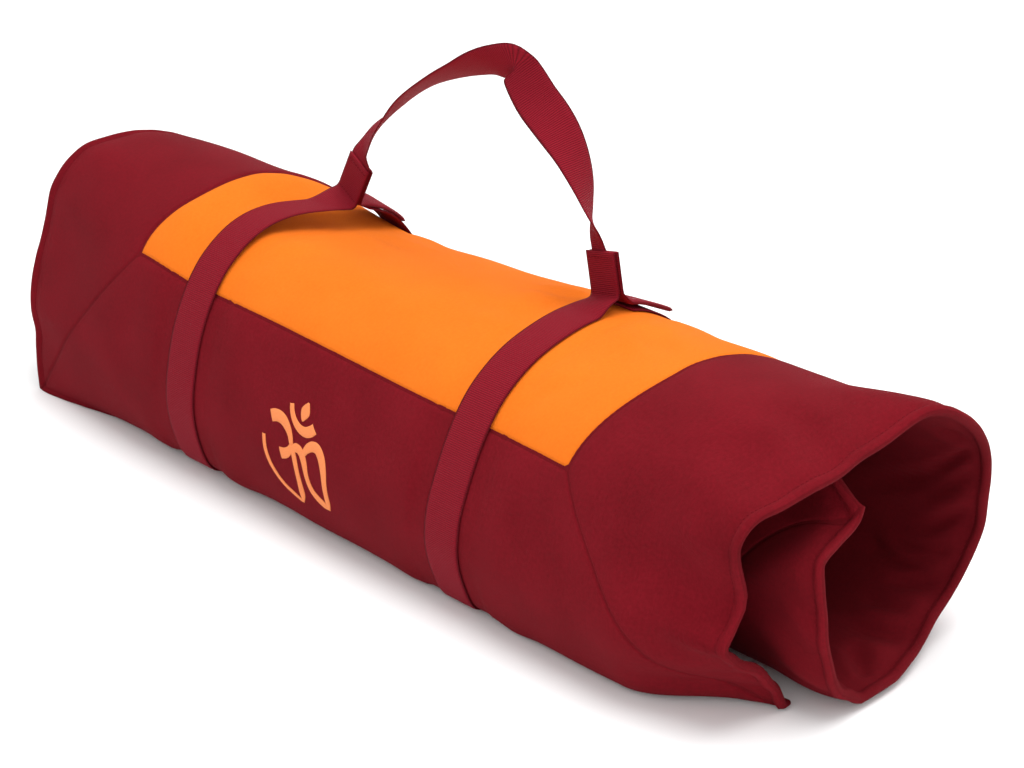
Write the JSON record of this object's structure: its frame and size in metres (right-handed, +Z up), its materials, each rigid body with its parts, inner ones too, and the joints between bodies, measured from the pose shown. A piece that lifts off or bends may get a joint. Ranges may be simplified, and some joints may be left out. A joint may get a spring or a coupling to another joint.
{
  "type": "rolled meditation mat",
  "caption": "Padded cloth mat, rolled up and tied with two webbing straps that a twisted carry handle joins.",
  "frame": {"origin": "under the middle of the whole object's box, on the surface that it lies on", "axes": "+X along the roll, +Y to the back, away from the hem at the front, +Z up"},
  "size_m": [0.9362, 0.3128, 0.4199],
  "materials": {
    "wine_cloth": "matt woven cotton, wine red",
    "orange_cloth": "matt woven cotton, orange",
    "webbing": "ribbed cotton webbing, wine red, slight sheen"
  },
  "bodies": {
    "root": {"mat_back": "wine_cloth", "centre_panel": "orange_cloth", "border_front": "wine_cloth", "border_inner": "wine_cloth", "border_left": "wine_cloth", "border_right": "wine_cloth", "roll_strap_left": "webbing", "roll_strap_right": "webbing", "closure_tab_left": "webbing", "closure_tab_right": "webbing", "carry_handle": "webbing"}
  },
  "joints": []
}
